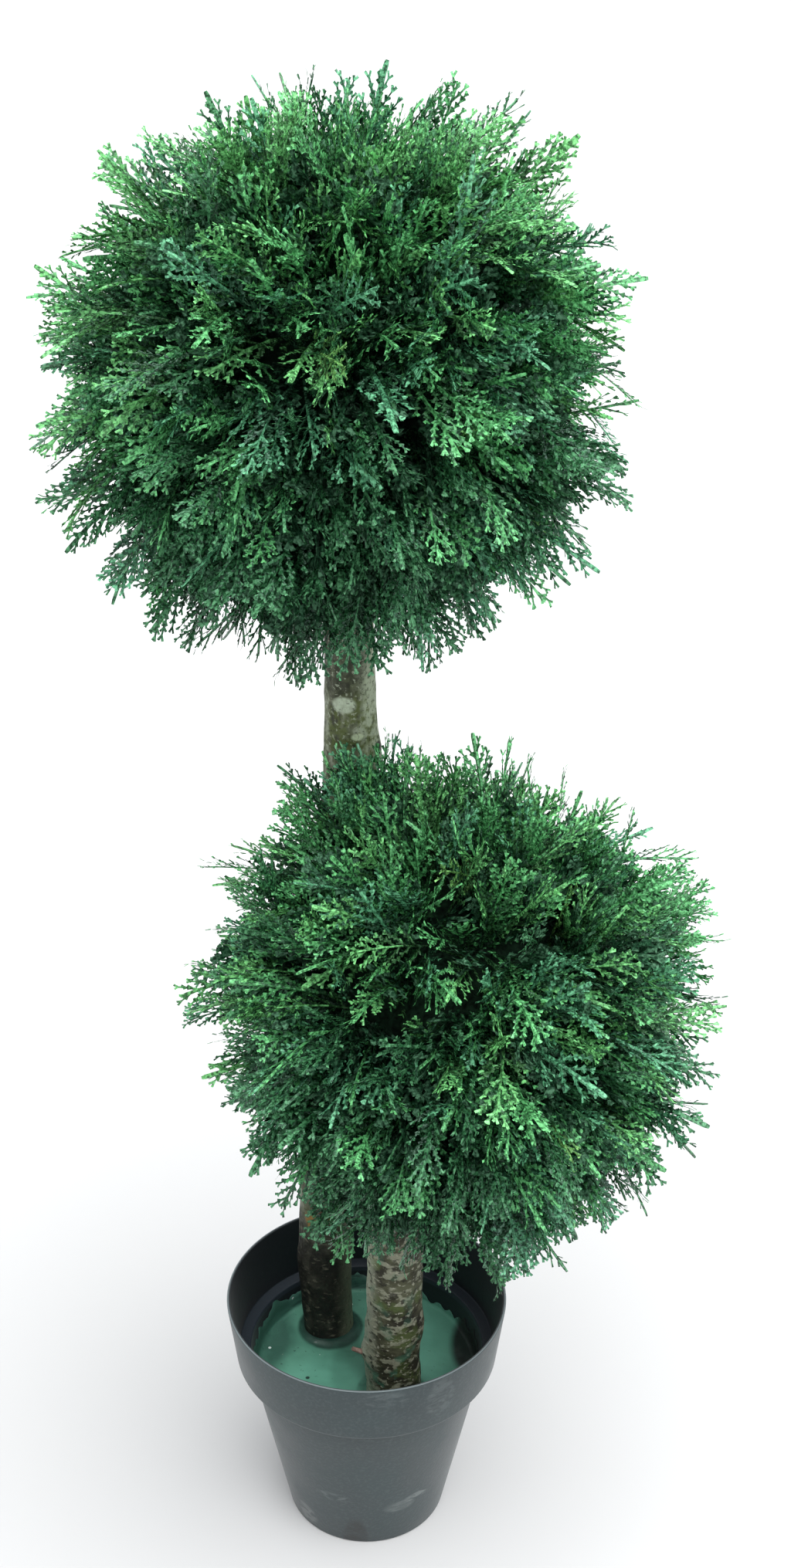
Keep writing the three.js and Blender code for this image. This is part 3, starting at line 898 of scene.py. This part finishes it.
def growFrond(look, outward, root, startTilt, tipTilt, around, target, random):
    # one frond from its root, or None where a trunk is in its way
    centre = np.array(look["centre"]) * mm
    first = unit(np.cross(outward, up + 1e-6))
    lean = first * math.cos(around) + np.cross(outward, first) * math.sin(around)
    way = outward * math.cos(startTilt) + lean * math.sin(startTilt)
    tipWay = outward * math.cos(tipTilt) + lean * math.sin(tipTilt)
    level = math.hypot(tipWay[0], tipWay[1])
    tipWay = unit(tipWay - up * bunchLook["droop"] * (0.2 + 0.8 * level))
    length = target - bunchLook["root"] * mm
    steps = np.linspace(0, 1, 9)[:, None]
    for again in range(4):  # the length comes nearer each time to one whose tip reaches the target
        path = root + length * (steps * way + 0.5 * steps ** 2 * (tipWay - way))
        tip = path[-1] - centre
        length += target + bulgeAt(look, unit(tip)) - np.linalg.norm(tip)
    shortest, longest = bunchLook["lengths"]
    if not shortest * mm < length < longest * mm or not clearOfTrunks(path):
        return None
    aside = np.cross(outward, lean)
    over = np.cross(tipWay, aside)
    twist = random.normal() * bunchLook["twist"]
    aside = unit(aside * math.cos(twist) + over * math.sin(twist))
    aside = unit(aside - tipWay * np.dot(aside, tipWay))
    return root, way, tipWay, aside, length, random.uniform(*bunchLook["sizes"])


def growBall(look):
    centre = np.array(look["centre"]) * mm
    names = list(tones)
    shares = np.array([tones[name]["share"] for name in names])
    fronds = []

    def pickTone(outward, random):
        # paler tones are dealt out more on the upper and back side and deeper ones below, as painted light
        # and shade
        light = shares * np.exp([tones[name]["risesWith"] * np.dot(outward, paintedLightWay) for name in names])
        return random.choice(names, p=light / light.sum())

    def addFrond(outward, shape, tone, tilts, around, stand, random, reach=None):
        # tries a few ways, as a trunk may be in the way of one
        for attempt in range(bunchLook["tries"]):
            startTilt = random.uniform(*tilts)
            tipTilt = startTilt + random.uniform(*bunchLook["tipTilt"])
            low, high = bunchLook["ragged"]
            target = min(look["tips"] + stand + low + (high - low) * random.random() ** 2, look["most"])
            if shape == "filler":
                target = random.uniform(*bunchLook["fillerReach"])
            if reach:
                target = reach
            scatter = random.normal(size=3) * bunchLook["rootScatter"] * mm
            root = centre + outward * bunchLook["root"] * mm + scatter
            grown = growFrond(look, outward, root, math.radians(startTilt), math.radians(tipTilt),
                              around + random.normal() * bunchLook["swing"], target * mm, random)
            if grown:
                fronds.append((shape, tone, random.integers(len(frondShapes[shape]["kinds"])), grown))
                return

    for number in range(look["bunches"]):
        random = np.random.default_rng((look["seed"], number))
        outward = strayDirection(number, look["bunches"], bunchLook["bunchStray"], random)
        bunchTone = pickTone(outward, random)
        turn = random.uniform(0, 2 * math.pi)
        stand = random.normal() * bunchLook["uneven"]
        fans, fillers = bunchLook["fans"], bunchLook["fillers"]
        for member in range(fans):
            tone = bunchTone if random.random() < bunchLook["sameTone"] else pickTone(outward, random)
            if random.random() < bunchLook["lime"]:
                tone = "limeGreen"
            around = turn + 2 * math.pi * member / fans
            addFrond(outward, "fan", tone, bunchLook["startTilt"], around, stand, random)
        for member in range(fillers):
            around = turn + 2 * math.pi * member / fillers
            addFrond(outward, "filler", "shadeGreen", bunchLook["startTilt"], around, 0, random)
    for number in range(look["singles"]):
        random = np.random.default_rng((look["seed"], bunchLook["singleSeeds"] + number))
        outward = strayDirection(number, look["singles"], bunchLook["singleStray"], random)
        stand = random.normal() * bunchLook["uneven"]
        tone = pickTone(outward, random)
        around = random.uniform(0, 2 * math.pi)
        addFrond(outward, "fan", tone, bunchLook["singleTilt"], around, stand, random)
    for number, tip in enumerate(look["handSet"]):
        random = np.random.default_rng((look["seed"], bunchLook["handSetSeeds"] + number))
        away = np.array(tip) * mm - centre
        outward = unit(away)
        reach = (np.linalg.norm(away) - bulgeAt(look, outward)) / mm
        tone = handSetTones[number % len(handSetTones)]
        around = random.uniform(0, 2 * math.pi)
        addFrond(outward, "fan", tone, bunchLook["handSetTilt"], around, 0, random, reach)
    return fronds


def makeHeart(name, centre, look, finish):
    # dark lumpy heart of a ball, with its trunk inside
    rings = []
    for ring in range(look["rings"]):
        fall = math.pi * (ring + 0.5) / look["rings"]
        for point in ringPoints(math.sin(fall), -math.cos(fall), fullTurn(look["sides"])):
            way = Vector(point)
            reach = look["radius"] + look["lumps"] * ripple(*(way * 4), 4)
            rings.append(np.array(centre) + np.array(way) * reach)
    return closedTube(name, np.array(rings).reshape(look["rings"], look["sides"], 3) * mm, finish)


def makeBall(node, look, finishes):
    fronds = growBall(look)
    random = np.random.default_rng(frondSeed)
    templates = {shape: [frondTemplate(values, stalk, random) for stalk in values["kinds"]]
                 for shape, values in frondShapes.items()}
    pieces = [makeHeart(look["piece"] + "Heart", look["centre"], heartLook, finishes["heart"])]
    for tone, part in [(tone, part) for tone in tones for part in frondParts]:
        points, quads, total = [], [], 0
        for shape in frondShapes:
            for kind, template in enumerate(templates[shape]):
                flat, corners = template[part]
                chosen = [frond[3] for frond in fronds if frond[:3] == (shape, tone, kind)]
                if chosen:
                    placed = bendTemplate(flat, *(np.array(column) for column in zip(*chosen)))
                    points.append(placed.reshape(-1, 3))
                    starts = total + len(flat) * np.arange(len(chosen))
                    quads.append((corners + starts[:, None, None]).reshape(-1, 4))
                    total += len(flat) * len(chosen)
        if points:
            name = look["piece"] + tone[0].upper() + tone[1:] + part
            points, quads = np.concatenate(points), np.concatenate(quads)
            pieces.append(quadPiece(name, points, quads, finishes[tone, part]))
    for piece in pieces:
        place(piece, node, look["slot"])
    triangles = [2 * len(piece.data.polygons) for piece in pieces]
    print(look["piece"], "ball:", len(fronds), "fronds,", sum(triangles), "triangles,",
          max(triangles), "in the largest piece")


def ballFinishes():
    finishes = {"heart": darkHeart(heartLook)}
    for name, look in tones.items():
        for part, bright in frondParts.items():
            # tips made paler, partly as a painted highlight; inner parts darker as painted shade
            colour = tuple(bright * c + 0.04 * max(0, bright - 1) for c in look["colour"])
            finishes[name, part] = mouldedGreen(name + part, colour, {**greenLook, **look})
    return finishes


# Floor and light
stageLook = {"floor": 30, "grey": 0.64, "roughness": 0.9, "specular": 0.1}
lightLook = {
    "sunPower": 4.75, "sunWidth": 70, "sunTilt": (17, 12),              # angles in degrees
    "level": (0.98, 0.99, 1), "above": (0.4, 0.42, 0.44), "aboveFrom": 0.5,     # colours of the room
}


def makeStage(look):
    finish, tree, shader = newFinish("paleFloor", look)
    shader.inputs["Base Color"].default_value = (*[look["grey"]] * 3, 1)
    half = look["floor"]
    corners = np.array([(-half, -half, 0), (half, -half, 0), (half, half, 0), (-half, half, 0)])
    quadPiece("floor", corners, np.array([[0, 1, 2, 3]]), finish)


def makeLight(look):
    world = bpy.data.worlds.new("paleRoom")
    world.use_nodes = True
    tree = world.node_tree
    where = addNode(tree, "TexCoord")
    split = addNode(tree, "SeparateXYZ")
    tree.links.new(where.outputs["Generated"], split.inputs["Vector"])
    rise = stretchRange(tree, split.outputs["Z"], 0, look["aboveFrom"])
    room = ramp(tree, rise, [(0, look["level"]), (1, look["above"])])
    tree.links.new(room, tree.nodes["Background"].inputs["Color"])
    bpy.context.scene.world = world
    data = bpy.data.lights.new("softSun", "SUN")
    data.energy = look["sunPower"]
    data.angle = math.radians(look["sunWidth"])
    sun = bpy.data.objects.new("softSun", data)
    sun.rotation_euler = (*(math.radians(tilt) for tilt in look["sunTilt"]), 0)
    bpy.context.scene.collection.objects.link(sun)
    bpy.context.scene.view_settings.view_transform = "Standard"


makePot(potLook)
print("pot turned")
for node, look in trunkLooks.items():
    makeTrunk(node, look)
makeTwig(twigLook)
print("trunks made")
makeFill(fillLook)
print("fill made")
finishes = ballFinishes()
for node, look in ballLooks.items():
    makeBall(node, look, finishes)
makeStage(stageLook)
makeLight(lightLook)
print("stage and light set")
